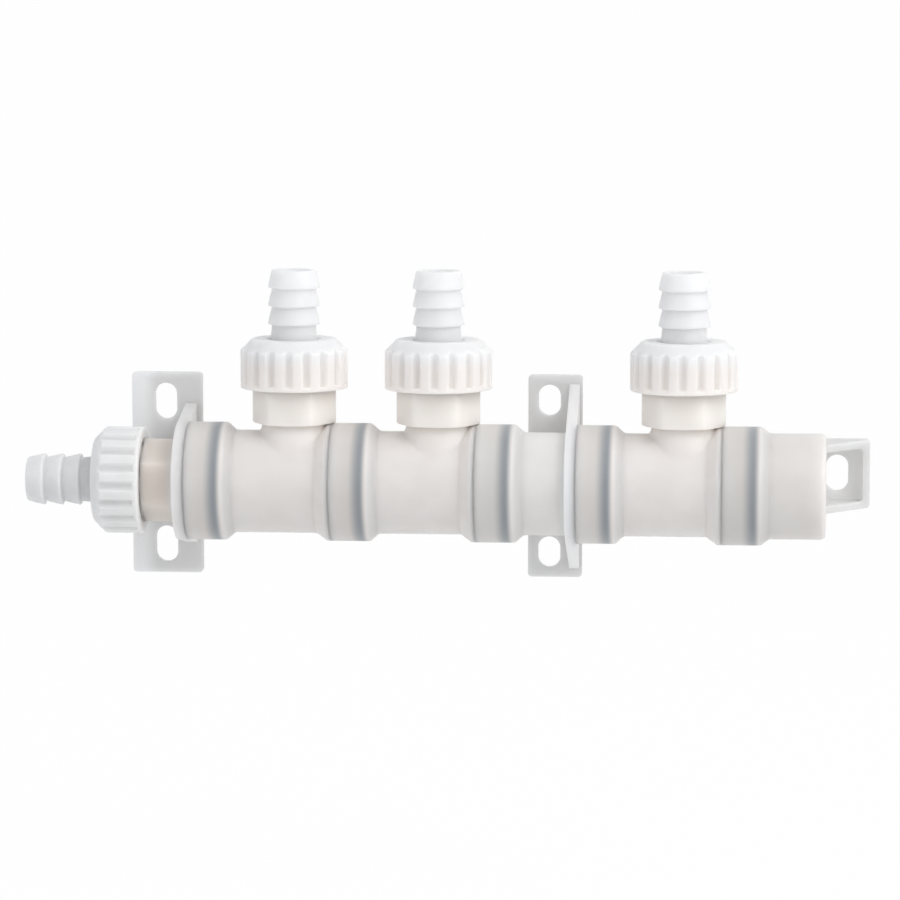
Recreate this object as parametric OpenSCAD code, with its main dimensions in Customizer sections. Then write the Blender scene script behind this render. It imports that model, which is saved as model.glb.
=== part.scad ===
// Push-fit plastic coolant manifold with one hose inlet and three hose outlets.
//
// Each section has a socket on its left and a spigot with an O-ring on its right, and the
// sections plug into one another along one axis. Hose tails are held by ribbed union nuts.
// Origin: on the mounting plane, midway between the two slots of the inlet bracket.
// +X runs along the pipe from inlet to cap, +Z is the way the outlets point, and +Y points
// into the surface that the brackets are screwed to.

/* [Pipe] */
// Outside diameter of the plain pipe
pipe_od = 32; // [30:0.5:34]
// Wall of the plain pipe
pipe_wall = 3; // [2.6:0.1:3.4]
// Tee, from the mouth of its socket to the face of its collar
tee_len = 45; // [42:1:60]
// Tee, from the mouth of its socket to the axis of its branch
branch_at = 33; // [31:0.5:34]
// Joiner, from the mouth of its socket to its right face
joiner_len = 31.1; // [27:0.5:40]
// End cap, from the mouth of its socket to its closed end
cap_len = 32; // [24:1:40]
// Outside diameter of the end cap's plain body
cap_od = 32.8; // [30:0.2:35]
// Thickness of the end cap's closed end
cap_end = 3; // [2:0.5:5]
// Rounding of the end cap's closed end
cap_round = 1.6; // [0.5:0.1:2.4]

/* [Sockets and collars] */
// Bore of a socket
socket_bore = 32; // [31:0.5:33]
// Wall of a socket
socket_wall = 2.4; // [2:0.1:3]
// Straight length of a socket
socket_len = 12; // [11.5:0.5:14]
// Length over which a socket tapers down to the pipe
socket_taper = 2.7; // [2.2:0.1:3.5]
// How much deeper a socket's bore runs than its straight outside
socket_deep = 0.6; // [0:0.1:0.8]
// Lead-in chamfer at a socket's mouth
socket_lead = 0.5; // [0.2:0.1:0.8]
// Straight length of the collar that butts the next socket
collar_len = 1.4; // [1:0.1:3]
// Length over which the pipe widens to its collar
collar_taper = 3.3; // [2:0.1:4]

/* [Spigots and seals] */
// Radial clearance of a spigot in its socket
spigot_fit = 0.2; // [0.1:0.05:0.4]
// How far a spigot's end stays short of the socket's straight bore
spigot_gap = 0.2; // [0.1:0.1:1]
// Wall of a spigot under its seal groove
spigot_wall = 2.3; // [1.8:0.1:2.6]
// Lip between the seal groove and the spigot's end
spigot_lip = 1.4; // [1.2:0.1:2.5]
// Chamfer on a spigot's end
spigot_nose = 0.6; // [0.3:0.1:1]
// Free thickness of an O-ring
ring_section = 3; // [2.5:0.1:3.2]
// How much an O-ring is squeezed in its groove
ring_squeeze = 0.5; // [0.3:0.05:0.7]
// Play at each side of an O-ring in its groove
ring_side = 0.2; // [0.1:0.05:0.5]
// Hairline left between a seal and the wall that it seals on
seal_hair = 0.03; // [0.02:0.01:0.05]

/* [Branches] */
// How far the boss's lower face clears the top of the socket beside it
boss_gap = 0.2; // [0.1:0.1:3]
// Height of the boss
boss_h = 10.6; // [9:0.1:15]
// Width of the boss across its flats
boss_flats = 23.4; // [22.5:0.1:25]
// Diameter that the boss's corners are rounded to
boss_corners = 26.2; // [25.4:0.1:28]
// Chamfer around the boss's lower edge
boss_edge = 0.7; // [0.3:0.1:1.2]
// Diameter of the neck under the boss
neck_od = 19; // [18:0.5:21]
// How far inside the pipe's wall the foot of the neck starts
neck_foot = 0.5; // [0.2:0.1:1.5]
// Bore of each branch and of the inlet
branch_bore = 14; // [12:0.5:15]

/* [Unions] */
// Diameter of the threaded stub, taken at the middle of its thread
stub_od = 25.3; // [24.6:0.1:25.4]
// Length of the threaded stub
stub_len = 8.3; // [7:0.1:11]
// Chamfer on the stub's end
stub_edge = 0.8; // [0.3:0.1:1.2]
// Radial clearance between stub and nut
thread_fit = 0.1; // [0.05:0.05:0.3]
// Gap between the boss and the nut's lower face
nut_gap = 0.3; // [0.1:0.1:1]
// Outside diameter of the nut over its ribs
nut_od = 33.3; // [32:0.1:36]
// Thickness of the nut's inward lip
nut_lip = 2.8; // [2:0.1:4]
// Chamfer around the nut's top
nut_chamfer = 3.6; // [2:0.1:4]
// Chamfer around the nut's lower edge
nut_edge = 0.6; // [0.3:0.1:1]
// Number of ribs around the nut
nut_ribs = 18; // [12:1:20]
// Width of the groove between two ribs
rib_gap = 2.9; // [2:0.1:3.2]
// Depth of the groove between two ribs
rib_depth = 1.15; // [0.8:0.05:1.4]
// Height of the plain rim below the ribs
nut_rim = 1.4; // [1:0.1:3]
// Thickness of the flat gasket
gasket_t = 2; // [1.5:0.5:3]
// Radial clearance between the gasket or flange and the nut's bore
flange_fit = 0.85; // [0.5:0.05:1.2]
// Thickness of the hose tail's flange
flange_t = 2.5; // [2:0.1:4]

/* [Hose tails] */
// Diameter over the barbs
barb_od = 16; // [15:0.1:17]
// Diameter at the roots of the barbs and at the tip
barb_root = 13.7; // [13:0.1:14.5]
// Diameter of the plain shank below the barbs
shank_od = 14.8; // [14:0.1:15.2]
// Bore of the hose tail
tail_bore = 10; // [8:0.5:11]
// Number of barbs
barbs = 3; // [2:1:5]
// Distance from one barb to the next
barb_pitch = 5.64; // [4.5:0.02:7]
// Length of the cylindrical land on each barb's crest
barb_land = 0.4; // [0.3:0.05:0.8]
// Length of each barb's undercut, from crest to root
barb_back = 0.5; // [0.2:0.1:1]
// First barb's crest above the nut's top
first_barb = 4.7; // [3:0.1:7]
// Length of the tip, from the last barb's crest
tip_len = 5.4; // [4:0.1:7]
// Chamfer around the tip
tip_edge = 0.6; // [0.2:0.1:1]
// Radial clearance of the barbs in the nut's lip
tail_fit = 0.3; // [0.15:0.05:0.5]

/* [Brackets] */
// Thickness of the mounting plates and the cap's tab
plate_t = 2.6; // [2:0.1:4]
// Gap between the mounting plates and the sockets beside them
plate_gap = 0.4; // [0.3:0.1:2]
// Rounding of the plates' corners
plate_round = 1.2; // [0.5:0.1:3]
// Width of the screw slots
slot_w = 7; // [5:0.1:7.5]
// Width of the inlet bracket's plate
inlet_plate_w = 22.3; // [20:0.1:26]
// Height of the inlet bracket's plate
inlet_plate_h = 63.8; // [62:0.1:80]
// Overall length of the inlet bracket's slots
inlet_slot_len = 11.5; // [9:0.5:12]
// Distance between the middles of the inlet bracket's slots
inlet_slots_apart = 45.6; // [44:0.1:46.5]
// Middle of the inlet bracket's slots, from the plate's left edge
inlet_slot_at = 10.8; // [6:0.1:12]
// Thickness of the inlet bracket's web
inlet_web_t = 3.5; // [2.5:0.1:4]
// Half height of the inlet bracket's web at the plate
inlet_web_h = 22.2; // [20:0.1:28]
// Right face of the inlet bracket's web, from the middle of its slots
inlet_face = 9.8; // [8.6:0.1:10.5]
// Length of the inlet boss
inlet_boss_len = 10.4; // [8:0.1:14]
// Width of the joiner's plate
joiner_plate_w = 17; // [16:0.1:20]
// How far the joiner's plate reaches past its web
joiner_plate_over = 0.8; // [0:0.1:2]
// Height of the joiner's plate
joiner_plate_h = 64; // [62:0.1:80]
// Overall length of the joiner's slots
joiner_slot_len = 9.8; // [8.5:0.1:12]
// Distance between the middles of the joiner's slots
joiner_slots_apart = 48.1; // [46:0.1:50]
// Middle of the joiner's slots, from the plate's left edge
joiner_slot_at = 6.7; // [6:0.1:8]
// Thickness of the joiner's web
joiner_web_t = 3.2; // [2.5:0.1:4]
// Half height of the joiner's web at the plate
joiner_web_h = 29.3; // [22:0.5:31]

/* [Cap tab] */
// Length of the tab beyond the cap's closed end
tab_len = 13.8; // [12:0.1:24]
// Length of the tab's root beside and behind the cap
tab_root = 3; // [2:0.1:5]
// Height of the tab
tab_h = 21.3; // [18:0.1:26]
// Height of the tab's middle above the pipe axis
tab_raise = 2; // [0:0.1:3]
// Overall length of the tab's slot
tab_slot_len = 11.4; // [9:0.1:13]
// Middle of the tab's slot, from the cap's closed end
tab_slot_at = 3.6; // [3.5:0.1:6]
// Thickness of the tab's gussets and rim
tab_wall = 2.3; // [1.5:0.1:3]
// Depth of the tab's rim in front of its plate
tab_rim = 2.2; // [1:0.1:5]
// How far the gussets stand off the mounting plane, at the cap
tab_reach = 20; // [10:0.1:26]

/* [Hidden] */
$fn = 96;

pipe_r = pipe_od / 2;
pipe_bore_r = pipe_r - pipe_wall;
socket_bore_r = socket_bore / 2;
socket_r = socket_bore_r + socket_wall;
cap_r = cap_od / 2;

// Spigot, seal groove and the O-ring squeezed into it with its volume kept
spigot_r = socket_bore_r - spigot_fit;
spigot_len = socket_len + socket_deep - spigot_gap;
groove_r = socket_bore_r - (ring_section - ring_squeeze);
spigot_bore_r = groove_r - spigot_wall;
ring_h = socket_bore_r - groove_r - 2 * seal_hair;
ring_w = ring_h + (pow(ring_section, 2) - pow(ring_h, 2)) * PI / 4 / ring_h;
groove_w = ring_w + 2 * ring_side;
groove_to = spigot_len - spigot_lip;
groove_from = groove_to - groove_w;
ring_at = (groove_from + groove_to) / 2;

// Stack of a union, measured along its own axis from the boss's face
gasket_from = stub_len;
flange_from = gasket_from + gasket_t;
lip_from = flange_from + flange_t;
nut_top = lip_from + nut_lip;
stub_r = stub_od / 2;
nut_r = nut_od / 2;
nut_bore_r = stub_r + thread_fit;
flange_r = nut_bore_r - flange_fit;
branch_bore_r = branch_bore / 2;
barb_r = barb_od / 2;
root_r = barb_root / 2;
shank_r = shank_od / 2;
tail_bore_r = tail_bore / 2;
nut_hole_r = barb_r + tail_fit;
barb_from = nut_top + first_barb;
tip_from = barb_from + (barbs - 1) * barb_pitch;
tail_top = tip_from + tip_len;

// Radius and distance of the round cutter that makes a groove of the stated width and depth
cutter_r = (pow(rib_gap / 2, 2) + pow(rib_depth, 2)) / (2 * rib_depth);
cutter_at = nut_r - rib_depth + cutter_r;

// Pipe axis in front of the mounting plane, and the places of the sections along it
axis_h = socket_r + plate_gap + plate_t;
plate_front = axis_h - plate_t;
tee_1_x = inlet_face;
tee_2_x = tee_1_x + tee_len;
joiner_x = tee_2_x + tee_len;
tee_3_x = joiner_x + joiner_len;
cap_x = tee_3_x + tee_len;
boss_from = socket_r + boss_gap;
boss_top = boss_from + boss_h;
inlet_boss_x = inlet_face - inlet_web_t - inlet_boss_len;
joiner_plate_x = joiner_len + joiner_plate_over - joiner_plate_w;
eps = 0.01;

TEE_X = [tee_1_x, tee_2_x, tee_3_x];
SEAL_X = [tee_1_x, tee_2_x, joiner_x, tee_3_x, cap_x];

// ---- Shared shapes ----

// Moves a piece to its place along the pipe axis
module on_pipe(x) translate([x, -axis_h, 0]) children();

// Puts a union's own axis on a branch, or on the inlet where it points along -X
module on_branch(i) on_pipe(TEE_X[i] + branch_at) translate([0, 0, boss_top]) children();

module on_inlet() on_pipe(inlet_boss_x) rotate([0, -90, 0]) children();

// Solid turned about the X axis, from a path of [x, radius] pairs
module turned(path)
    rotate([0, 90, 0])
        rotate_extrude()
            polygon(concat([[0, path[0][0]]], [for (p = path) [p[1], p[0]]],
                [[0, path[len(path) - 1][0]]]));

// Solid turned about the Z axis, from a path of [radius, z] pairs
module upright(path)
    rotate_extrude()
        polygon(concat([[0, path[0][1]]], path, [[0, path[len(path) - 1][1]]]));

// Outside of a socket whose mouth is at x = 0, as [x, radius] pairs down to radius r
function socket_path(r) = [[0, socket_r], [socket_len, socket_r], [socket_len + socket_taper, r]];

// Bore of a socket whose mouth is at x = 0, with its lead-in and its sloping floor
module socket_cut()
    turned([[-eps, socket_bore_r + socket_lead], [socket_lead, socket_bore_r],
        [socket_len + socket_deep, socket_bore_r], [socket_len + socket_taper, pipe_bore_r]]);

// Spigot with its seal groove, from x = 0 to the right
module spigot()
    turned([[-eps, spigot_r], [groove_from, spigot_r], [groove_from, groove_r],
        [groove_to, groove_r], [groove_to, spigot_r], [spigot_len - spigot_nose, spigot_r],
        [spigot_len, spigot_r - spigot_nose]]);

// Bore of a spigot, from x = -depth to past its end
module spigot_cut(depth)
    turned([[-depth, spigot_bore_r], [spigot_len + eps, spigot_bore_r]]);

// Hexagonal boss of height h with rounded-off corners, chamfered below
module boss(h)
    intersection() {
        cylinder(h = h, d = boss_flats / cos(30), $fn = 6);
        upright([[boss_corners / 2 - boss_edge, 0], [boss_corners / 2, boss_edge],
            [boss_corners / 2, h]]);
    }

// Stub that carries the union's thread
module stub()
    upright([[stub_r, -eps], [stub_r, stub_len - stub_edge], [stub_r - stub_edge, stub_len]]);

// Slot of overall length l, standing on end
module slot(l)
    for (side = [-1, 1]) {
        translate([0, side * (l - slot_w) / 2]) circle(d = slot_w);
        square([slot_w, l - slot_w], center = true);
    }

// Rectangle from x = 0 to w, centred in height, with rounded corners
module rounded_plate(w, h)
    union() {
        translate([plate_round, -h / 2]) square([w - 2 * plate_round, h]);
        translate([0, -h / 2 + plate_round]) square([w, h - 2 * plate_round]);
        for (x = [plate_round, w - plate_round], side = [-1, 1])
            translate([x, side * (h / 2 - plate_round)]) circle(r = plate_round);
    }

// Mounting plate with its back on the mounting plane and its left edge at x = 0
module mounting_plate(w, h, slot_at, slot_len, apart)
    translate([0, axis_h, 0])
        rotate([90, 0, 0])
            linear_extrude(plate_t)
                difference() {
                    rounded_plate(w, h);
                    for (side = [-1, 1])
                        translate([slot_at, side * apart / 2]) slot(slot_len);
                }

// Where a line from the point [y, z] touches the upper side of the socket's circle
function touch_point(y, z) =
    let (turn = atan2(z, y) + acos(socket_r / norm([y, z])))
    [socket_r * cos(turn), socket_r * sin(turn)];

// Upright web across the pipe: a collar that spreads to half height h at the plate
module web(t, h) {
    touch = touch_point(plate_front, h);
    rotate([90, 0, 90])
        linear_extrude(t) {
            circle(r = socket_r);
            polygon([touch, [plate_front, h], [axis_h - eps, h], [axis_h - eps, -h],
                [plate_front, -h], [touch[0], -touch[1]]]);
        }
}

// ---- Pipe sections ----

module inlet_adapter()
    color([0.88, 0.89, 0.88])
        on_pipe(0)
            difference() {
                union() {
                    translate([inlet_face - inlet_web_t, 0, 0]) web(inlet_web_t, inlet_web_h);
                    translate([-inlet_slot_at, 0, 0])
                        mounting_plate(inlet_plate_w, inlet_plate_h, inlet_slot_at,
                            inlet_slot_len, inlet_slots_apart);
                    translate([inlet_boss_x, 0, 0]) {
                        rotate([0, 90, 0]) boss(inlet_boss_len + eps);
                        rotate([0, -90, 0]) stub();
                    }
                    translate([inlet_face, 0, 0]) spigot();
                }
                turned([[inlet_boss_x - stub_len - eps, branch_bore_r],
                    [inlet_face, branch_bore_r]]);
                translate([inlet_face, 0, 0]) spigot_cut(inlet_web_t / 2);
            }

module tee(i)
    color([0.94, 0.91, 0.87])
        on_pipe(TEE_X[i])
            difference() {
                union() {
                    turned(concat(socket_path(pipe_r),
                        [[tee_len - collar_len - collar_taper, pipe_r],
                        [tee_len - collar_len, socket_r], [tee_len, socket_r]]));
                    translate([tee_len, 0, 0]) spigot();
                    translate([branch_at, 0, 0]) {
                        cylinder(h = boss_from + boss_edge, r1 = pipe_r - neck_foot, r2 = neck_od / 2);
                        translate([0, 0, boss_from]) boss(boss_h);
                        translate([0, 0, boss_top]) stub();
                    }
                }
                socket_cut();
                turned([[socket_len, pipe_bore_r], [tee_len - collar_len, pipe_bore_r]]);
                translate([tee_len, 0, 0]) spigot_cut(collar_len + eps);
                translate([branch_at, 0, 0])
                    cylinder(h = boss_top + stub_len + eps, r = branch_bore_r);
            }

module joiner()
    color([0.88, 0.89, 0.88])
        on_pipe(joiner_x)
            difference() {
                union() {
                    turned(concat(socket_path(pipe_r), [[joiner_len - joiner_web_t, pipe_r]]));
                    translate([joiner_len - joiner_web_t, 0, 0]) web(joiner_web_t, joiner_web_h);
                    translate([joiner_plate_x, 0, 0])
                        mounting_plate(joiner_plate_w, joiner_plate_h, joiner_slot_at,
                            joiner_slot_len, joiner_slots_apart);
                    translate([joiner_len, 0, 0]) spigot();
                }
                socket_cut();
                turned([[socket_len, pipe_bore_r], [joiner_len - joiner_web_t, pipe_bore_r]]);
                translate([joiner_len, 0, 0]) spigot_cut(joiner_web_t + eps);
            }

// Layer of the tab's outline, inset at its edges, from depth y forward by t
module tab_layer(y, t, inset)
    translate([-tab_root, y, 0])
        rotate([90, 0, 0])
            linear_extrude(t) rounded_plate(tab_root + tab_len - inset, tab_h - 2 * inset);

// Tab beyond the cap: a slotted plate with a gusset above and below and a rim at its end
module cap_tab()
    translate([cap_len, 0, tab_raise])
        difference() {
            foot = axis_h - tab_reach;
            tab_layer(axis_h, tab_reach, 0);
            tab_layer(plate_front, tab_reach, tab_wall);
            translate([0, 0, -tab_h / 2 - eps])
                linear_extrude(tab_h + 2 * eps)
                    polygon([[0, foot], [tab_len, plate_front - tab_rim],
                        [tab_len + eps, plate_front - tab_rim], [tab_len + eps, foot - eps],
                        [0, foot - eps]]);
            translate([tab_slot_at, axis_h + eps, 0])
                rotate([90, 0, 0])
                    linear_extrude(plate_t + 2 * eps) slot(tab_slot_len);
        }

module end_cap()
    color([0.9, 0.9, 0.89])
        on_pipe(cap_x)
            difference() {
                union() {
                    turned(concat(socket_path(cap_r),
                        [for (a = [90:-15:0])
                            [cap_len - cap_round * (1 - cos(a)), cap_r - cap_round * (1 - sin(a))]]));
                    cap_tab();
                }
                socket_cut();
                turned([[socket_len, pipe_bore_r], [cap_len - cap_end, pipe_bore_r]]);
            }

// ---- Seals ----

// O-ring as it lies squeezed between groove and socket, with rounded sides
module o_ring(i)
    color([0.16, 0.17, 0.2])
        on_pipe(SEAL_X[i] + ring_at)
            rotate([0, 90, 0])
                rotate_extrude()
                    translate([groove_r + seal_hair + ring_h / 2, 0]) {
                        for (side = [-1, 1])
                            translate([0, side * (ring_w - ring_h) / 2]) circle(d = ring_h);
                        square([ring_h, ring_w - ring_h], center = true);
                    }

// Flat gasket between the stub's end and the hose tail's flange
module gasket()
    color([0.2, 0.2, 0.21])
        translate([0, 0, gasket_from])
            difference() {
                cylinder(h = gasket_t, r = flange_r);
                translate([0, 0, -eps]) cylinder(h = gasket_t + 2 * eps, r = branch_bore_r);
            }

// ---- Unions ----

module union_nut()
    color([0.96, 0.96, 0.95])
        difference() {
            upright([[nut_r - nut_edge, nut_gap], [nut_r, nut_gap + nut_edge],
                [nut_r, nut_top - nut_chamfer], [nut_r - nut_chamfer, nut_top]]);
            upright([[nut_bore_r + nut_edge, nut_gap - eps], [nut_bore_r, nut_gap + nut_edge],
                [nut_bore_r, lip_from]]);
            cylinder(h = nut_top + eps, r = nut_hole_r);
            for (i = [0:nut_ribs - 1])
                rotate([0, 0, i * 360 / nut_ribs])
                    translate([0, -cutter_at, nut_gap + nut_rim])
                        cylinder(h = nut_top, r = cutter_r);
        }

// Outline of one barb whose crest starts at height z: undercut, crest and land
function barb_path(z) = [[root_r, z - barb_back], [barb_r, z], [barb_r, z + barb_land]];

module hose_tail()
    color([0.97, 0.97, 0.97])
        difference() {
            upright(concat([[flange_r, flange_from], [flange_r, lip_from], [shank_r, lip_from],
                [shank_r, nut_top - nut_lip / 2]],
                [for (i = [0:barbs - 1]) each barb_path(barb_from + i * barb_pitch)],
                [[root_r, tail_top - tip_edge], [root_r - tip_edge, tail_top]]));
            translate([0, 0, flange_from - eps])
                cylinder(h = tail_top - flange_from + 2 * eps, r = tail_bore_r);
        }

inlet_adapter();
tee(0);  // tee_1
tee(1);  // tee_2
joiner();
tee(2);  // tee_3
end_cap();
o_ring(0);  // o_ring_1
o_ring(1);  // o_ring_2
o_ring(2);  // o_ring_3
o_ring(3);  // o_ring_4
o_ring(4);  // o_ring_5
on_inlet() gasket();  // gasket_inlet
on_branch(0) gasket();  // gasket_1
on_branch(1) gasket();  // gasket_2
on_branch(2) gasket();  // gasket_3
on_inlet() union_nut();  // union_nut_inlet
on_branch(0) union_nut();  // union_nut_1
on_branch(1) union_nut();  // union_nut_2
on_branch(2) union_nut();  // union_nut_3
on_inlet() hose_tail();  // hose_tail_inlet
on_branch(0) hose_tail();  // hose_tail_1
on_branch(1) hose_tail();  // hose_tail_2
on_branch(2) hose_tail();  // hose_tail_3
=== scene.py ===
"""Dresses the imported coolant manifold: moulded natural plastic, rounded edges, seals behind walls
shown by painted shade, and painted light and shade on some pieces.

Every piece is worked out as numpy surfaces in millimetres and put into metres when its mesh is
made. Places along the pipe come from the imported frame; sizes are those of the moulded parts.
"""

import logging
import math
from collections.abc import Callable
from dataclasses import dataclass, replace
from enum import Enum

import bpy
import numpy as np
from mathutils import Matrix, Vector


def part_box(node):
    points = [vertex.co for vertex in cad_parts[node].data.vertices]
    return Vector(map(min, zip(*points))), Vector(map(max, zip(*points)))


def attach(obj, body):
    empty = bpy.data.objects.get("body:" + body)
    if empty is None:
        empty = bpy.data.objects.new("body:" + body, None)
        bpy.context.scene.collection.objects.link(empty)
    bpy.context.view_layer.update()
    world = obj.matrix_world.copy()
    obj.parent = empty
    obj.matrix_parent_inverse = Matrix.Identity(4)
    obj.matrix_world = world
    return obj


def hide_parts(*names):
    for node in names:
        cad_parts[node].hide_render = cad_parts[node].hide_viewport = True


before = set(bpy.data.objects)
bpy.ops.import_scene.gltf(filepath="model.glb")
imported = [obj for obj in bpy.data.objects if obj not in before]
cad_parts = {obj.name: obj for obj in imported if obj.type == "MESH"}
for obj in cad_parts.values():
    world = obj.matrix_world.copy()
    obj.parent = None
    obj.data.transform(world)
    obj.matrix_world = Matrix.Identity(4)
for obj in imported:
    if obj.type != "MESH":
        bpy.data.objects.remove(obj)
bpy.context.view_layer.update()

MM = 0.001
BODY = "root"
LOG = logging.getLogger("manifold")
# Millimetres: longest step along a body's outline, radius left open on an axis that a surface
# reaches, and what a slot's round ends lack of a full half circle.
BODY_STEP = 2.0
AXIS_R = 0.02
SLOT_FLAT = 0.01
# Largest share of a side that one corner's rounding may take.
CORNER_SHARE = 0.45
# Steps around a drilled hole and around each half of a slot's end.
DRILL_SIDES = 96
SLOT_STEPS = 14

Colour = tuple[float, float, float, float]


class Along(Enum):
    """The way a turned shape's own axis points, as its axis and two directions across it."""

    PIPE = ((1, 0, 0), (0, 0, 1), (0, -1, 0))
    BRANCH = ((0, 0, 1), (0, -1, 0), (1, 0, 0))
    INLET = ((-1, 0, 0), (0, -1, 0), (0, 0, 1))


class Facing(Enum):
    """The plane of a flat outline and the way it is thickened, as three directions."""

    WALL = ((1, 0, 0), (0, 0, 1), (0, -1, 0))
    SECTION = ((0, -1, 0), (0, 0, 1), (-1, 0, 0))
    PLAN = ((1, 0, 0), (0, 1, 0), (0, 0, 1))


class Cut(Enum):
    """What a second solid does to the first."""

    ADD = "UNION"
    REMOVE = "DIFFERENCE"


# ---- Shapes ----


def rounded(path: np.ndarray, radius: float | np.ndarray, steps: int = 5) -> np.ndarray:
    """Rounds the corners of a closed path.

    Each corner is swapped for a parabola that leaves one side and meets the next at the same
    distance from the corner: the radius times the tangent of half the turn, and at most
    CORNER_SHARE of the shorter side.

    Args:
        path: Corners, as rows of two numbers.
        radius: Rounding radius, one number or one for each corner.
        steps: Pieces that each corner's curve is drawn in.

    Returns:
        The rounded path's points, in order.
    """
    before = np.roll(path, 1, axis=0) - path
    after = np.roll(path, -1, axis=0) - path
    long_before = np.linalg.norm(before, axis=1, keepdims=True)
    long_after = np.linalg.norm(after, axis=1, keepdims=True)
    before, after = before / long_before, after / long_after
    cosine = np.clip((before * after).sum(1, keepdims=True), -0.9999, 0.9999)
    half_turn = (np.pi - np.arccos(cosine)) / 2
    wanted = np.reshape(radius, (-1, 1)) * np.tan(half_turn)
    reach = np.minimum(wanted, CORNER_SHARE * np.minimum(long_before, long_after))
    start, stop = path + before * reach, path + after * reach
    u = np.linspace(0, 1, steps + 1)[None, :, None]
    curve = (1 - u) ** 2 * start[:, None] + 2 * u * (1 - u) * path[:, None] + u**2 * stop[:, None]
    return curve.reshape(-1, 2)


def refined(path: np.ndarray, spacing: float, where: np.ndarray | bool = True) -> np.ndarray:
    """Adds points to a closed path so that none of its sides is longer than the spacing.

    Args:
        path: Points, as rows of two numbers.
        spacing: Longest side to leave.
        where: Marks the points whose next side is split. All of them are, if it isn't given.

    Returns:
        The path's points with equal steps added on each long side.
    """
    sides = np.roll(path, -1, axis=0) - path
    pieces = np.maximum(1, np.ceil(np.linalg.norm(sides, axis=1) / spacing)).astype(int)
    pieces = np.where(where, pieces, 1)
    owner = np.repeat(np.arange(len(path)), pieces)
    first = np.concatenate([[0], np.cumsum(pieces)[:-1]])
    share = (np.arange(pieces.sum()) - first[owner]) / pieces[owner]
    return path[owner] + sides[owner] * share[:, None]


def soft_max(a: np.ndarray, b: np.ndarray, blend: float) -> np.ndarray:
    """Larger of two heights, with a fillet where they are nearly equal.

    The fillet adds a quarter of the blend times the square of one minus the gap over the blend.

    Args:
        a: First height.
        b: Second height.
        blend: Gap at which the fillet starts.

    Returns:
        The blended height.
    """
    near = np.maximum(blend - np.abs(a - b), 0) / blend
    return np.maximum(a, b) + near**2 * blend / 4


def soft_min(a: np.ndarray, b: np.ndarray, blend: float) -> np.ndarray:
    """Smaller of two heights, rounded off where they are nearly equal."""
    return -soft_max(-a, -b, blend)


def ring_faces(rings: int, sides: int) -> np.ndarray:
    """Quads of a grid of rings that closes on itself both ways, facing outwards."""
    ring, side = np.meshgrid(np.arange(rings), np.arange(sides), indexing="ij")
    next_ring, next_side = (ring + 1) % rings, (side + 1) % sides
    corners = [ring * sides + side, ring * sides + next_side]
    corners += [next_ring * sides + next_side, next_ring * sides + side]
    return np.stack(corners, axis=-1).reshape(-1, 4)


def solid(name: str, points: np.ndarray, faces: list) -> bpy.types.Object:
    """Makes a closed mesh, with its faces outwards, from points in millimetres.

    Args:
        name: Name of the object.
        points: Points in millimetres in the row's frame, as rows of three numbers.
        faces: Corner numbers of each face.

    Returns:
        The new object, at the origin, with its place in its mesh.
    """
    mesh = bpy.data.meshes.new(name)
    mesh.from_pydata((points * MM).tolist(), [], [list(face) for face in faces])
    mesh.validate()
    corners = np.zeros(len(mesh.vertices) * 3)
    mesh.vertices.foreach_get("co", corners)
    mesh.calc_loop_triangles()
    triangles = np.zeros(len(mesh.loop_triangles) * 3, int)
    mesh.loop_triangles.foreach_get("vertices", triangles)
    a, b, c = corners.reshape(-1, 3)[triangles.reshape(-1, 3)].transpose(1, 0, 2)
    if (a * np.cross(b, c)).sum() < 0:
        mesh.flip_normals()
    piece = bpy.data.objects.new(name, mesh)
    bpy.context.scene.collection.objects.link(piece)
    return piece


def turned(
    name: str,
    path: np.ndarray,
    along: Along,
    at: np.ndarray,
    sides: int = 160,
    swell: Callable[[np.ndarray, np.ndarray, np.ndarray], np.ndarray] | None = None,
) -> bpy.types.Object:
    """Turns a closed path of [distance along the axis, radius] pairs about an axis.

    A point is at + distance * axis + radius * (cos(angle) * across + sin(angle) * other).

    Args:
        name: Name of the object.
        path: Distances along the axis and radii, in millimetres.
        along: The way the axis points.
        at: Where the axis starts, in millimetres.
        sides: Number of steps around.
        swell: Gives the radius from the distances, radii and angles, for shapes that aren't round.

    Returns:
        The turned solid.
    """
    axis, across, other = (np.array(way, float) for way in along.value)
    angle = np.arange(sides) * 2 * np.pi / sides
    distance, radius = path[:, :1], np.broadcast_to(path[:, 1:], (len(path), sides))
    if swell:
        radius = swell(distance, radius, angle[None, :])
    around = np.cos(angle)[:, None] * across + np.sin(angle)[:, None] * other
    points = at + distance[:, :, None] * axis + radius[:, :, None] * around[None]
    return solid(name, points.reshape(-1, 3), ring_faces(len(path), sides).tolist())


def prism(
    name: str, outline: np.ndarray, facing: Facing, at: np.ndarray, lo: float, hi: float
) -> bpy.types.Object:
    """Thickens a flat outline from lo to hi along the way it faces.

    Args:
        name: Name of the object.
        outline: Corners of the outline, in millimetres.
        facing: The outline's plane and the way it is thickened.
        at: Where the outline's own origin is, in millimetres.
        lo: Where the solid starts along that way.
        hi: Where it ends.

    Returns:
        The prism.
    """
    u, v, w = (np.array(way, float) for way in facing.value)
    n = len(outline)
    flat = at + outline[:, :1] * u + outline[:, 1:] * v
    ring = np.arange(n)
    sides = np.stack([ring, (ring + 1) % n, (ring + 1) % n + n, ring + n], axis=1).tolist()
    caps = [ring[::-1].tolist(), (ring + n).tolist()]
    return solid(name, np.concatenate([flat + lo * w, flat + hi * w]), sides + caps)


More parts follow.
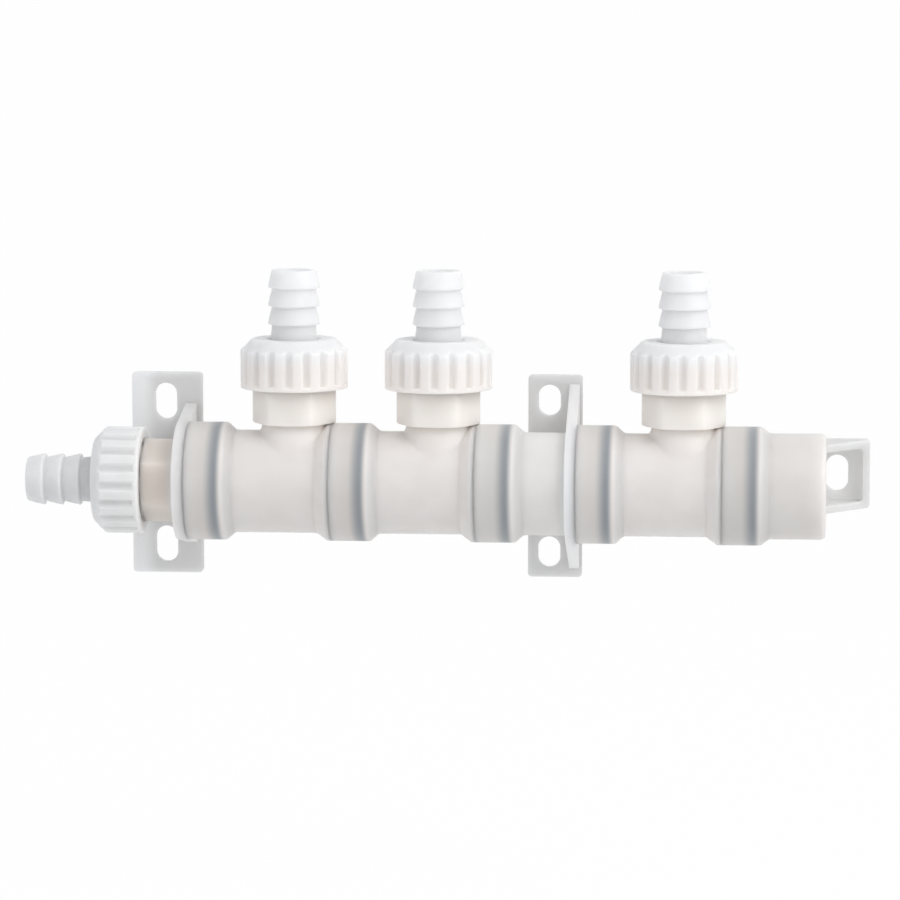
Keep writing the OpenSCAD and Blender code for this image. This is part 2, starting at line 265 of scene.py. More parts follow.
def drill(
    name: str, radius: float, along: Along, at: np.ndarray, lo: float, hi: float
) -> bpy.types.Object:
    """Makes a plain round cutter from lo to hi along an axis.

    Args:
        name: Name of the object.
        radius: Radius of the hole.
        along: The way the axis points.
        at: Where the axis starts, in millimetres.
        lo: Where the cutter starts along the axis.
        hi: Where it ends.

    Returns:
        The cutter.
    """
    axis, across, other = (np.array(way, float) for way in along.value)
    side = np.arange(DRILL_SIDES)
    angle = side[:, None] * 2 * np.pi / DRILL_SIDES
    ring = at + radius * (np.cos(angle) * across + np.sin(angle) * other)
    after = (side + 1) % DRILL_SIDES
    faces = np.stack([side, after, after + DRILL_SIDES, side + DRILL_SIDES], axis=1).tolist()
    faces += [side[::-1].tolist(), (side + DRILL_SIDES).tolist()]
    return solid(name, np.concatenate([ring + lo * axis, ring + hi * axis]), faces)


def settle(piece: bpy.types.Object) -> None:
    """Applies a piece's modifiers to its mesh."""
    graph = bpy.context.evaluated_depsgraph_get()
    mesh = bpy.data.meshes.new_from_object(piece.evaluated_get(graph))
    piece.modifiers.clear()
    piece.data = mesh


def combine(piece: bpy.types.Object, other: bpy.types.Object, cut: Cut) -> None:
    """Adds another solid to a piece, or removes it from the piece, and deletes the other."""
    step = piece.modifiers.new("combine", "BOOLEAN")
    step.operation, step.solver, step.object = cut.value, "MANIFOLD", other
    bpy.context.view_layer.update()
    settle(piece)
    bpy.data.objects.remove(other)


def ease_edges(piece: bpy.types.Object, radius: float, sharp: float = 32) -> None:
    """Rounds a flat-sided piece's edges as a mould does.

    Args:
        piece: The piece.
        radius: Rounding, in millimetres.
        sharp: Smallest turn between two faces that counts as an edge, in degrees.
    """
    step = piece.modifiers.new("ease", "BEVEL")
    step.width, step.segments = radius * MM, 3
    step.limit_method, step.angle_limit = "ANGLE", math.radians(sharp)
    step.use_clamp_overlap = True
    settle(piece)


def oblong(width: float, height: float, corner: float, steps: int = 8) -> np.ndarray:
    """Outline of a rectangle about its middle, with rounded corners."""
    x, y = width / 2 - corner, height / 2 - corner
    centre = np.array([[x, y], [-x, y], [-x, -y], [x, -y]])[:, None]
    angle = (np.arange(4) * np.pi / 2)[:, None] + np.linspace(0, np.pi / 2, steps + 1)
    arc = np.stack([np.cos(angle), np.sin(angle)], axis=-1) * corner
    return (centre + arc).reshape(-1, 2)


def slot_outline(width: float, length: float) -> np.ndarray:
    """Outline of an upright slot with round ends, about its middle."""
    return oblong(width, length, width / 2 - SLOT_FLAT, SLOT_STEPS)


# ---- Finishes ----


def linear(code: str) -> Colour:
    """Turns an sRGB hex colour into the linear values that a shader takes."""
    srgb = np.array([int(code[i : i + 2], 16) for i in (1, 3, 5)]) / 255
    value = np.where(srgb <= 0.04045, srgb / 12.92, ((srgb + 0.055) / 1.055) ** 2.4)
    return (*value.tolist(), 1.0)


def node(tree: bpy.types.NodeTree, kind: str, links: dict | None = None, **settings) -> bpy.types.Node:
    """Adds a node.

    Args:
        tree: Node tree that it goes into.
        kind: Type of the node, without the ShaderNode at its front.
        links: Values or sockets for its inputs, by name or number.
        settings: Its own settings.

    Returns:
        The node.
    """
    made = tree.nodes.new("ShaderNode" + kind)
    for name, value in settings.items():
        setattr(made, name, value)
    for name, value in (links or {}).items():
        if isinstance(value, bpy.types.NodeSocket):
            tree.links.new(value, made.inputs[name])
        else:
            made.inputs[name].default_value = value
    return made


@dataclass(frozen=True)
class Tint:
    """A change of colour over a stretch of a piece, along one axis of the row's frame, used for painted
    light and shade and for the material's own warmer tone.

    The stretch is full from inner[0] to inner[1] and fades out at outer[0] and outer[1].
    """

    axis: str
    outer: tuple[float, float]
    inner: tuple[float, float]
    colour: str
    strength: float = 1.0


@dataclass(frozen=True)
class NaturalPolypropylene:
    """Unpigmented polypropylene, injection moulded: milky, waxy and soft lit from inside.

    The resin scatters light over a few millimetres, so shadows and edges go soft. It yellows
    slightly where it is thick, and its skin has a fine, dull gloss with faint flow clouds.
    """

    name: str
    colour: str
    cloud: str
    cloud_mm: float = 11.0
    cloudiness: float = 0.5
    roughness: float = 0.42
    depth_mm: tuple[float, float, float] = (7.4, 7.3, 7.1)
    scatter: float = 1.0
    grain_mm: float = 0.5
    grain_height_mm: float = 0.012
    tints: tuple[Tint, ...] = ()

    def build(self) -> bpy.types.Material:
        """Makes the material.

        Returns:
            The material, reading Object coordinates.
        """
        made = bpy.data.materials.new(self.name)
        made.use_nodes = True
        tree = made.node_tree
        tree.nodes.clear()
        place = node(tree, "TexCoord").outputs["Object"]
        axes = node(tree, "SeparateXYZ", {0: place}).outputs
        clouds = node(
            tree,
            "TexNoise",
            {"Vector": place, "Scale": 1 / (self.cloud_mm * MM), "Detail": 2.0, "Roughness": 0.45},
        )
        amount = node(
            tree,
            "MapRange",
            {"Value": clouds.outputs[0], "From Min": 0.35, "From Max": 0.65, "To Max": self.cloudiness},
            interpolation_type="SMOOTHSTEP",
        ).outputs[0]
        colour = self.mixed(tree, amount, linear(self.colour), linear(self.cloud))
        # Tints lay painted light and shade, and warmer tone, over stretches of the piece.
        for tint in self.tints:
            share = self.stretch(tree, axes[tint.axis], tint)
            colour = self.mixed(tree, share, colour, linear(tint.colour))
        grain = node(
            tree,
            "TexNoise",
            {"Vector": place, "Scale": 1 / (self.grain_mm * MM), "Detail": 1.0},
        ).outputs[0]
        bump = node(
            tree,
            "Bump",
            {"Height": grain, "Strength": 0.35, "Distance": self.grain_height_mm * MM},
        ).outputs[0]
        shader = node(
            tree,
            "BsdfPrincipled",
            {
                "Base Color": colour,
                "Roughness": self.roughness,
                "IOR": 1.49,
                "Specular IOR Level": 0.4,
                "Subsurface Weight": self.scatter,
                "Subsurface Radius": self.depth_mm,
                "Subsurface Scale": MM,
                "Subsurface Anisotropy": 0.2,
                "Normal": bump,
            },
        )
        output = node(tree, "OutputMaterial")
        tree.links.new(shader.outputs[0], output.inputs["Surface"])
        return made

    @staticmethod
    def mixed(
        tree: bpy.types.NodeTree,
        amount: bpy.types.NodeSocket,
        first: bpy.types.NodeSocket | Colour,
        second: bpy.types.NodeSocket | Colour,
    ) -> bpy.types.NodeSocket:
        """Mixes two colours and returns the socket of the mix."""
        made = node(tree, "Mix", data_type="RGBA")
        for slot, value in ((0, amount), (6, first), (7, second)):
            if isinstance(value, bpy.types.NodeSocket):
                tree.links.new(value, made.inputs[slot])
            else:
                made.inputs[slot].default_value = value
        return made.outputs[2]

    @staticmethod
    def stretch(
        tree: bpy.types.NodeTree, along: bpy.types.NodeSocket, tint: Tint
    ) -> bpy.types.NodeSocket:
        """Strength of a tint along its axis: the product of a soft rise and a soft fall."""
        rise, fall = (
            node(
                tree,
                "MapRange",
                {
                    "Value": along,
                    "From Min": outer * MM,
                    "From Max": inner * MM,
                    "To Max": share,
                },
                interpolation_type="SMOOTHSTEP",
            ).outputs[0]
            for outer, inner, share in zip(tint.outer, tint.inner, (1.0, tint.strength))
        )
        return node(tree, "Math", {0: rise, 1: fall}, operation="MULTIPLY").outputs[0]


@dataclass(frozen=True)
class SealRubber:
    """Black nitrile rubber, moulded: nearly black, with a dull, slightly oily skin."""

    name: str
    colour: str = "#2a2c30"
    bloom: str = "#3d4046"
    grain_mm: float = 0.6

    def build(self) -> bpy.types.Material:
        """Makes the material, with a faint grey bloom over the black."""
        made = bpy.data.materials.new(self.name)
        made.use_nodes = True
        tree = made.node_tree
        tree.nodes.clear()
        place = node(tree, "TexCoord").outputs["Object"]
        bloom = node(tree, "TexNoise", {"Vector": place, "Scale": 1 / (self.grain_mm * MM)}).outputs[0]
        colour = NaturalPolypropylene.mixed(tree, bloom, linear(self.colour), linear(self.bloom))
        shader = node(tree, "BsdfPrincipled", {"Base Color": colour, "Roughness": 0.55, "IOR": 1.52})
        output = node(tree, "OutputMaterial")
        tree.links.new(shader.outputs[0], output.inputs["Surface"])
        return made


def dress(
    piece: bpy.types.Object, material: bpy.types.Material, stands_for: str
) -> None:
    """Gives a piece its material and its place in the frame.

    Args:
        piece: The finished piece.
        material: The material.
        stands_for: The CAD node that the piece replaces.
    """
    piece.data.materials.clear()
    piece.data.materials.append(material)
    piece.data.shade_smooth()
    piece.data.set_sharp_from_angle(angle=math.radians(38))
    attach(piece, BODY)
    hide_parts(stands_for)
    LOG.info("%s: %d faces", piece.name, len(piece.data.polygons))


# ---- Sub-assemblies ----


@dataclass
class Union:
    """The threaded stub's end of a union: nut and hose tail on one axis, sizes in millimetres."""

    along: Along
    at: np.ndarray
    stub_len: float = 8.3
    gasket_t: float = 2.0
    flange_t: float = 2.5
    nut_lip: float = 2.8
    nut_gap: float = 0.3
    nut_r: float = 16.65
    nut_bore_r: float = 12.75
    nut_hole_r: float = 8.3
    nut_chamfer: float = 3.6
    nut_edge: float = 0.6
    ribs: int = 18
    rib_gap: float = 2.9
    rib_depth: float = 1.15
    flange_r: float = 11.9
    shank_r: float = 7.4
    root_r: float = 6.85
    barb_r: float = 8.0
    tail_bore_r: float = 5.0
    barbs: int = 3
    barb_pitch: float = 5.64
    barb_land: float = 0.4
    barb_back: float = 0.5
    first_barb: float = 4.7
    tip_len: float = 5.4
    groove_from: float = 1.25
    groove_run_out: float = 0.5
    groove_blend: float = 0.35

    @property
    def lip_from(self) -> float:
        """Distance from the boss's face to the lower side of the nut's lip."""
        return self.stub_len + self.gasket_t + self.flange_t

    @property
    def nut_top(self) -> float:
        """Distance from the boss's face to the nut's top."""
        return self.lip_from + self.nut_lip

    def grooved(self, distance: np.ndarray, radius: np.ndarray, angle: np.ndarray) -> np.ndarray:
        """Radius of the nut with its grooves cut.

        Each groove is a round cutter whose nearest side lies at
        c * cos(d) - sqrt(q^2 - (c * sin(d))^2) from the axis, where q is the cutter's radius, c its
        distance from the axis and d the angle from the groove's middle. The cut fades in above the
        plain rim, by 3 t^2 - 2 t^3 of its depth.

        Args:
            distance: Distances along the axis.
            radius: Radii of the plain nut.
            angle: Angles around the axis, from a groove's middle.

        Returns:
            The radii with the grooves.
        """
        cutter_r = ((self.rib_gap / 2) ** 2 + self.rib_depth**2) / (2 * self.rib_depth)
        cutter_at = self.nut_r - self.rib_depth + cutter_r
        pitch = 2 * np.pi / self.ribs
        off = (angle + pitch / 2) % pitch - pitch / 2
        inside = cutter_r**2 - (cutter_at * np.sin(off)) ** 2
        near = cutter_at * np.cos(off) - np.sqrt(np.maximum(inside, 0))
        near = near + np.sqrt(np.maximum(-inside, 0)) * 2
        step = np.clip((distance - self.nut_gap - self.groove_from) / self.groove_run_out, 0, 1)
        near = near + (1 - step * step * (3 - 2 * step)) * (self.rib_depth + 1)
        outer = radius > self.nut_bore_r + 0.3
        cut = outer & (distance > self.nut_gap + 0.1)
        return np.where(cut, soft_min(radius, near, self.groove_blend), radius)

    def nut(self, name: str) -> bpy.types.Object:
        """Makes the ribbed union nut, from the corners of its section and their roundings."""
        path = np.array(
            [
                [self.nut_gap, self.nut_bore_r + 0.5],
                [self.nut_gap, self.nut_r],
                [self.nut_top - self.nut_chamfer, self.nut_r],
                [self.nut_top, self.nut_r - self.nut_chamfer],
                [self.nut_top, self.nut_hole_r],
                [self.lip_from, self.nut_hole_r],
                [self.lip_from, self.nut_bore_r],
                [self.nut_gap + 0.5, self.nut_bore_r],
            ]
        )
        radii = np.array([0.15, self.nut_edge, 0.7, 0.7, 0.4, 0.2, 0.3, 0.15])
        path = refined(rounded(path, radii), 0.6)
        return turned(name, path, self.along, self.at, self.ribs * 18, self.grooved)

    def hose_tail(self, name: str) -> bpy.types.Object:
        """Makes the barbed hose tail with its hidden flange.

        Each row of its path is a distance along the axis, a radius and a rounding.
        """
        flange_from = self.stub_len + self.gasket_t
        barb_from = self.nut_top + self.first_barb
        tip = barb_from + (self.barbs - 1) * self.barb_pitch + self.tip_len
        path = [
            [flange_from, self.flange_r, 0.2],
            [self.lip_from, self.flange_r, 0.2],
            [self.lip_from, self.shank_r, 0.3],
            [self.nut_top - self.nut_lip / 2, self.shank_r, 0.4],
        ]
        for crest in barb_from + np.arange(self.barbs) * self.barb_pitch:
            path += [
                [crest - self.barb_back, self.root_r, 0.3],
                [crest, self.barb_r, 0.16],
                [crest + self.barb_land, self.barb_r, 0.5],
            ]
        path += [
            [tip, self.root_r, 0.7],
            [tip, self.tail_bore_r, 0.35],
            [flange_from, self.tail_bore_r, 0.2],
        ]
        path = np.array(path)
        path = refined(rounded(path[:, :2], path[:, 2]), 0.8)
        return turned(name, path, self.along, self.at, 128)


@dataclass
class Boss:
    """A hexagonal boss with its threaded stub, on a union's axis, sizes in millimetres."""

    along: Along
    at: np.ndarray
    height: float
    flats: float = 23.4
    corner_r: float = 13.1
    stub_r: float = 12.65
    stub_len: float = 8.3
    bore_r: float = 7.0
    foot: float = 0.7
    thread_depth: float = 1.3
    corner_blend: float = 0.9

    def hexagon(self, distance: np.ndarray, radius: np.ndarray, angle: np.ndarray) -> np.ndarray:
        """Radius of the boss: half the flats over the cosine of the angle from a flat's middle.

        The round blank caps it at the corners. The stub and bore lie inside the flats.

        Args:
            distance: Distances along the axis, which the hexagon doesn't depend on.
            radius: Radii of the round blank.
            angle: Angles around the axis, from a flat's middle.

        Returns:
            The radii of the boss.
        """
        off = (angle + np.pi / 6) % (np.pi / 3) - np.pi / 6
        flat = self.flats / 2 / np.cos(off)
        return soft_min(radius + 0 * off, flat + 0 * radius, self.corner_blend)

    def build(self, name: str) -> bpy.types.Object:
        """Makes the boss and stub as one solid with its bore."""
        path = np.array(
            [
                [-self.height, self.bore_r, 0.1],
                [-self.height, self.corner_r, self.foot],
                [0, self.corner_r, 0.25],
                [0, self.stub_r - self.thread_depth, 0.1],
                [self.stub_len, self.stub_r - self.thread_depth, 0.4],
                [self.stub_len, self.bore_r, 0.2],
            ]
        )
        rim = refined(rounded(path[:, :2], path[:, 2]), 0.7)
        return turned(name, rim, self.along, self.at, 180, self.hexagon)


@dataclass
class Section:
    """What every push-fit section shares: its socket, pipe, collar and spigot, in millimetres.

    Rows of its paths are a distance along the pipe, a radius and a rounding.
    """

    x: float
    axis_y: float
    pipe_r: float = 16.0
    bore_r: float = 13.0
    socket_r: float = 18.4
    socket_bore_r: float = 16.0
    socket_len: float = 12.0
    socket_taper: float = 2.7
    socket_deep: float = 0.6
    spigot_r: float = 15.8
    spigot_bore_r: float = 11.2
    spigot_len: float = 12.4
    seal_at: float = 9.1
    lead_in: float = 0.5
    nose: float = 0.6

    @property
    def at(self) -> np.ndarray:
        """Middle of the socket's mouth."""
        return np.array([self.x, self.axis_y, 0.0])

    def mouth(self, outside: float) -> list[list[float]]:
        """Outside of the socket from its mouth down to a body of the given radius."""
        return [
            [0, self.socket_r, 0.08],
            [self.socket_len, self.socket_r, 1.6],
            [self.socket_len + self.socket_taper, outside, 1.6],
        ]

    def inside(self) -> list[list[float]]:
        """Bore from the pipe back out to the socket's mouth."""
        return [
            [self.socket_len + self.socket_taper, self.bore_r, 0.5],
            [self.socket_len + self.socket_deep, self.socket_bore_r, 0.3],
            [self.lead_in, self.socket_bore_r, 0.2],
            [0, self.socket_bore_r + self.lead_in, 0.2],
        ]

    def spigot(self, start: float) -> list[list[float]]:
        """Outside of the spigot, its end and its bore back to its root."""
        end = start + self.spigot_len
        return [
            [start, self.spigot_r, 0.1],
            [end - self.nose, self.spigot_r, 0.2],
            [end, self.spigot_r - self.nose, 0.2],
            [end, self.spigot_bore_r, 0.2],
        ]


@dataclass
class Tee(Section):
    """A tee: socket, pipe, collar and spigot, with a branch whose foot flares into the pipe."""

    branch_x: float = 0.0
    length: float = 45.0
    collar_len: float = 1.4
    collar_taper: float = 3.3
    boss_from: float = 18.6
    boss_h: float = 10.6
    neck_r: float = 9.5
    neck_foot_r: float = 15.5
    neck_top: float = 19.3
    neck_blend: float = 1.1
    branch_bore_r: float = 7.0
    near_neck: float = 13.0
    neck_step: float = 0.3
    sides: int = 288

    def flared(self, distance: np.ndarray, radius: np.ndarray, angle: np.ndarray) -> np.ndarray:
        """Radius of the body with the neck of the branch raised from it.

        The neck is a cone about the branch's axis. A ray from the pipe's axis leaves it where
        A r^2 + B r + C = 0, with A = sin^2 - k^2 cos^2, B = 2 a k cos and C = d^2 - a^2. Here a is
        the cone's radius at the pipe's axis, k its slope and d the distance along the pipe.

        Args:
            distance: Distances along the pipe from the socket's mouth.
            radius: Radii of the plain body.
            angle: Angles around the pipe, from straight up.

        Returns:
            The radii of the body and neck, blended with a fillet.
        """
        slope = (self.neck_foot_r - self.neck_r) / self.neck_top
        d = distance - (self.branch_x - self.x)
        sine, cosine = np.sin(angle), np.cos(angle)
        a = sine**2 - (slope * cosine) ** 2
        b = 2 * self.neck_foot_r * slope * cosine
        c = d**2 - self.neck_foot_r**2
        root = b * b - 4 * a * c
        far = np.where(root > 0, -2 * c / (b + np.sqrt(np.maximum(root, 0)) + 1e-9), 99)
        up = np.maximum(cosine, 1e-3)
        neck = np.minimum(np.where(c < 0, far, 0), self.neck_top / up)
        neck = neck * np.clip(cosine / 0.2, 0, 1)
        outer = radius > self.bore_r + 1.5
        raised = outer & (np.abs(d) < self.neck_foot_r)
        return np.where(raised, soft_max(radius, neck, self.neck_blend), radius)

    def build(self, name: str) -> bpy.types.Object:
        """Makes the tee as one moulding."""
        path = self.mouth(self.pipe_r)
        path += [
            [self.length - self.collar_len - self.collar_taper, self.pipe_r, 1.6],
            [self.length - self.collar_len, self.socket_r, 1.2],
            [self.length, self.socket_r, 0.08],
        ]
        path += self.spigot(self.length)
        path += [
            [self.length - self.collar_len, self.spigot_bore_r, 0.3],
            [self.length - self.collar_len, self.bore_r, 0.3],
        ]
        path = np.array(path + self.inside())
        profile = refined(rounded(path[:, :2], path[:, 2]), BODY_STEP)
        by_neck = np.abs(profile[:, 0] - (self.branch_x - self.x)) < self.near_neck
        outside = profile[:, 1] > self.bore_r + 1
        profile = refined(profile, self.neck_step, by_neck & outside)
        piece = turned(name, profile, Along.PIPE, self.at, self.sides, self.flared)
        face = np.array([self.branch_x, self.axis_y, self.boss_from + self.boss_h])
        combine(piece, Boss(Along.BRANCH, face, self.boss_h).build("boss"), Cut.ADD)
        bore = drill("drill", self.branch_bore_r, Along.BRANCH, face, -self.boss_h - 12, 9)
        combine(piece, bore, Cut.REMOVE)
        return piece


@dataclass
class Bracket:
    """A slotted mounting plate with the web that joins it to the pipe, sizes in millimetres."""

    plate_x: float
    width: float
    height: float
    slot_x: float
    slot_len: float
    slots_apart: float
    web_x: float
    web_t: float
    web_h: float
    axis_y: float
    plate_t: float = 2.6
    slot_w: float = 7.0
    collar_r: float = 18.4
    corner: float = 1.2
    ease: float = 0.35
    web_root: float = 0.4

    def web_outline(self) -> np.ndarray:
        """Outline of the web across the pipe: a circle that spreads along two tangents.

        The tangent from a point at distance p touches the circle where the angle from that point is
        the arc cosine of radius over p.

        Returns:
            Corners as pairs of distance in front of the pipe's axis and height.
        """
        front = -self.axis_y - self.plate_t
        reach = math.hypot(front, self.web_h)
        turn = math.atan2(self.web_h, -front) - math.acos(self.collar_r / reach)
        arc = np.linspace(turn, -turn, 61)
        round_side = np.stack([np.cos(arc), np.sin(arc)], axis=1) * self.collar_r
        root = front + self.web_root
        plate = [[-front, -self.web_h], [-root, -self.web_h], [-root, self.web_h], [-front, self.web_h]]
        return np.concatenate([round_side, np.array(plate)])

    def build(self, name: str) -> bpy.types.Object:
        """Makes the plate with its slots and web, with eased edges."""
        middle = np.array([self.plate_x + self.width / 2, 0.0, 0.0])
        outline = oblong(self.width, self.height, self.corner)
        piece = prism(name, outline, Facing.WALL, middle, 0, self.plate_t)
        for side in (-1, 1):
            at = np.array([self.slot_x, 0.0, side * self.slots_apart / 2])
            slot = slot_outline(self.slot_w, self.slot_len)
            combine(piece, prism("slot", slot, Facing.WALL, at, -1, self.plate_t + 1), Cut.REMOVE)
        at = np.array([self.web_x, self.axis_y, 0.0])
        web = prism("web", self.web_outline(), Facing.SECTION, at, -self.web_t, 0)
        combine(piece, web, Cut.ADD)
        ease_edges(piece, self.ease)
        return piece


@dataclass
class InletAdapter(Section):
    """The inlet: threaded stub and hexagonal boss, web, slotted plate and spigot."""

    boss_h: float = 10.4
    boss_sunk: float = 0.6
    web_t: float = 3.5
    web_h: float = 22.2
    plate_x: float = -10.8
    plate_w: float = 22.3
    plate_h: float = 63.8
    slot_len: float = 11.5
    slots_apart: float = 45.6
    stub_bore_r: float = 7.0
    plug_from: float = -1.0
    plug_to: float = 0.6
    plug_bore_r: float = 7.5
    bore_step: float = -1.75

    def bracket(self) -> Bracket:
        """The plate, with its slots about the frame's origin, and the web."""
        return Bracket(
            plate_x=self.plate_x,
            width=self.plate_w,
            height=self.plate_h,
            slot_x=0.0,
            slot_len=self.slot_len,
            slots_apart=self.slots_apart,
            web_x=self.x - self.web_t,
            web_t=self.web_t,
            web_h=self.web_h,
            axis_y=self.axis_y,
        )

    def build(self, name: str) -> bpy.types.Object:
        """Makes the inlet adapter as one moulding. Its x is the web's right face."""
        piece = self.bracket().build(name)
        face = np.array([self.x - self.web_t - self.boss_h, self.axis_y, 0.0])
        boss = Boss(Along.INLET, face, self.boss_h + self.boss_sunk, foot=0.1)
        combine(piece, boss.build("boss"), Cut.ADD)
        path = [[self.plug_from, self.plug_bore_r, 0.1], [self.plug_from, self.spigot_r, 0.1]]
        path += self.spigot(0)[1:]
        path += [[self.plug_to, self.spigot_bore_r, 0.3], [self.plug_to, self.plug_bore_r, 0.3]]
        path = np.array(path)
        plug = turned("plug", rounded(path[:, :2], path[:, 2]), Along.PIPE, self.at)
        combine(piece, plug, Cut.ADD)
        bore = drill("drill", self.stub_bore_r, Along.PIPE, self.at, -30, 1)
        combine(piece, bore, Cut.REMOVE)
        mouth = drill("drill", self.spigot_bore_r, Along.PIPE, self.at, self.bore_step, 20)
        combine(piece, mouth, Cut.REMOVE)
        return piece


@dataclass
class Joiner(Section):
    """The joiner: socket and pipe that end in a bracket's web, with a spigot beyond it."""

    length: float = 31.1
    web_t: float = 3.2
    web_h: float = 29.3
    plate_w: float = 17.0
    plate_h: float = 64.0
    plate_past: float = 0.8
    slot_in: float = 6.7
    slot_len: float = 9.8
    slots_apart: float = 48.1

    def bracket(self) -> Bracket:
        """The plate and web. The plate reaches a little past the web's right face."""
        plate_x = self.x + self.length + self.plate_past - self.plate_w
        return Bracket(
            plate_x=plate_x,
            width=self.plate_w,
            height=self.plate_h,
            slot_x=plate_x + self.slot_in,
            slot_len=self.slot_len,
            slots_apart=self.slots_apart,
            web_x=self.x + self.length - self.web_t,
            web_t=self.web_t,
            web_h=self.web_h,
            axis_y=self.axis_y,
        )

    def build(self, name: str) -> bpy.types.Object:
        """Makes the joiner as one moulding."""
        piece = self.bracket().build(name)
        root = self.length - self.web_t
        path = self.mouth(self.pipe_r) + [[root + 1, self.pipe_r, 0.1], [root + 1, self.spigot_r, 0.1]]
        path += self.spigot(self.length)[1:]
        path += [[root, self.spigot_bore_r, 0.2], [root, self.bore_r, 0.3]]
        path = np.array(path + self.inside())
        profile = refined(rounded(path[:, :2], path[:, 2]), BODY_STEP)
        pipe = turned("pipe", profile, Along.PIPE, self.at)
        room = drill("drill", self.bore_r + 0.5, Along.PIPE, self.at, root - 1, root + 5)
        combine(piece, room, Cut.REMOVE)
        combine(piece, pipe, Cut.ADD)
        return piece


@dataclass
class EndCap(Section):
    """The end cap: socket, closed end and the slotted tab with its gussets and rim."""

    length: float = 32.0
    body_r: float = 16.4
    end_t: float = 3.0
    end_round: float = 1.6
    tab_len: float = 13.8
    tab_root: float = 3.0
    tab_h: float = 21.3
    tab_raise: float = 2.0
    tab_slot_len: float = 11.4
    tab_slot_at: float = 3.6
    tab_wall: float = 2.3
    tab_rim: float = 2.2
    tab_reach: float = 20.0
    tab_corner: float = 1.2
    tab_ease: float = 0.3
    tab_inside: float = 20.0
    slot_w: float = 7.0
    plate_t: float = 2.6

    def tab(self, name: str) -> bpy.types.Object:
        """Makes the tab: a rounded block, less its pocket, its slope and its slot."""
        at = np.array([self.x + self.length, 0.0, self.tab_raise])
        span = self.tab_root + self.tab_len
        centre = at + np.array([self.tab_len - span / 2, 0.0, 0.0])
        block = oblong(span, self.tab_h, self.tab_corner)
        piece = prism(name, block, Facing.WALL, centre, 0, self.tab_reach)
        spare = 10.0
        inner_h = self.tab_h - 2 * self.tab_wall
        inner = oblong(span + spare - self.tab_wall, inner_h, self.tab_corner)
        pocket_at = centre - np.array([(self.tab_wall + spare) / 2, 0.0, 0.0])
        pocket = prism("pocket", inner, Facing.WALL, pocket_at, self.plate_t, self.tab_reach + 5)
        combine(piece, pocket, Cut.REMOVE)
        toe = -self.plate_t - self.tab_rim
        wedge = [[-0.2, -self.tab_reach - 1], [0, -self.tab_reach], [self.tab_len, toe]]
        wedge += [[self.tab_len + 2, toe], [self.tab_len + 2, -self.tab_reach - 1]]
        slope = prism("slope", np.array(wedge), Facing.PLAN, at, -self.tab_h, self.tab_h)
        combine(piece, slope, Cut.REMOVE)
        slot_at = at + np.array([self.tab_slot_at, 0.0, 0.0])
        outline = slot_outline(self.slot_w, self.tab_slot_len)
        combine(piece, prism("slot", outline, Facing.WALL, slot_at, -1, 4), Cut.REMOVE)
        ease_edges(piece, self.tab_ease)
        return piece

    def build(self, name: str) -> bpy.types.Object:
        """Makes the cap and its tab as one moulding."""
        floor = self.length - self.end_t
        path = [[floor, AXIS_R, 0.001], [floor, self.bore_r, 0.8]]
        path += self.inside() + self.mouth(self.body_r)
        path += [[self.length, self.body_r, self.end_round], [self.length, AXIS_R, 0.001]]
        path = np.array(path)
        profile = refined(rounded(path[:, :2], path[:, 2]), BODY_STEP)
        piece = turned(name, profile, Along.PIPE, self.at)
        tab = self.tab("tab")
        room = drill(
            "drill", self.bore_r + 1, Along.PIPE, self.at, self.tab_inside, self.length - 0.8
        )
        combine(tab, room, Cut.REMOVE)
        combine(piece, tab, Cut.ADD)
        return piece


# ---- Studio ----


